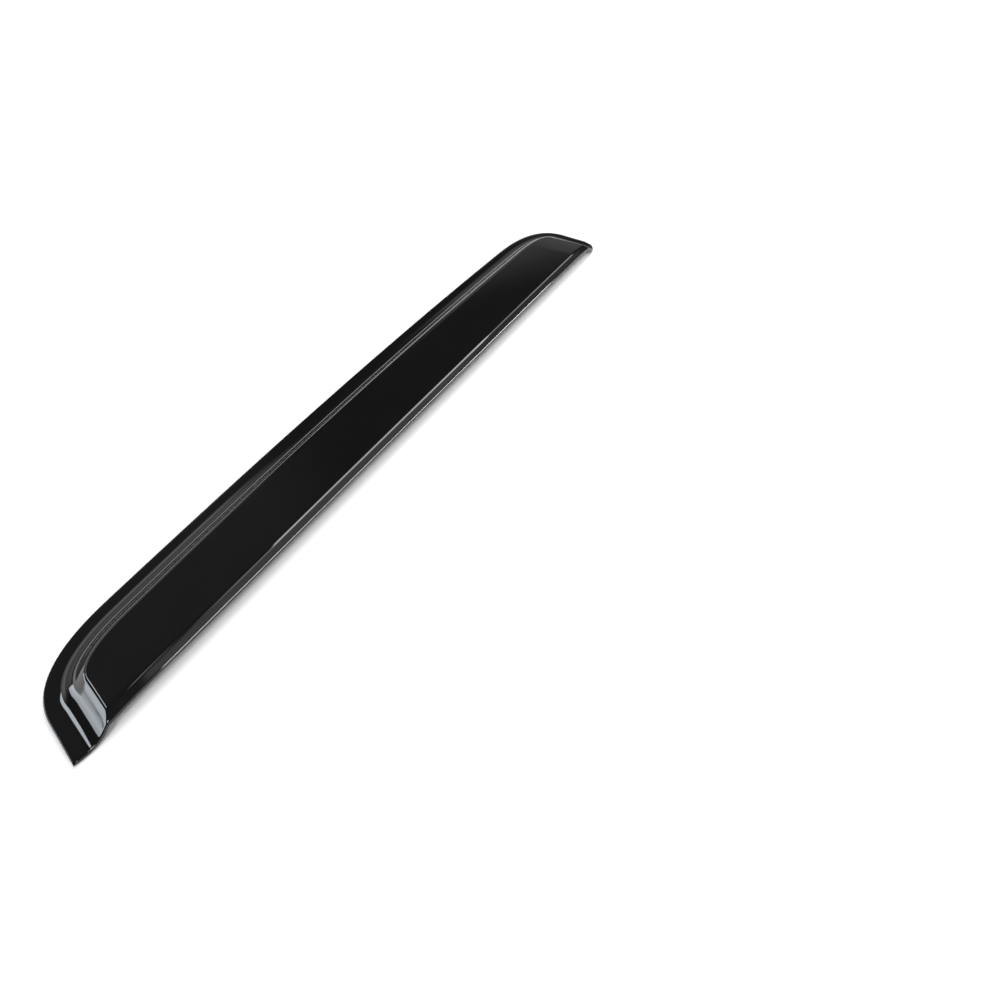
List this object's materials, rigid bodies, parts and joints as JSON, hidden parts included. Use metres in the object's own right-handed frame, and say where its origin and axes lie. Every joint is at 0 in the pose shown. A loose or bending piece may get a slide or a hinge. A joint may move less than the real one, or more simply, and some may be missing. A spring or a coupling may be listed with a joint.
{
  "type": "window rain deflector",
  "caption": "Long shallow moulded visor with a stick-on flange around its upper edge and ends and a turned-in lower lip, which keeps rain off an open side window.",
  "frame": {"origin": "middle of the part's length and width, on the plane of the foam strips' adhesive faces, which is the plane of the window frame", "axes": "+X along the window from the raked end to the square end, +Y towards the roof edge of the window, +Z out of the car"},
  "size_m": [0.75, 0.1, 0.0205],
  "materials": {
    "smoked_acrylic": "high gloss, near black",
    "foam_tape": "dull closed-cell foam with a peel-off film"
  },
  "bodies": {
    "root": {"visor": "smoked_acrylic", "upper_tape": "foam_tape", "raked_end_tape": "foam_tape", "square_end_tape": "foam_tape"}
  },
  "joints": []
}
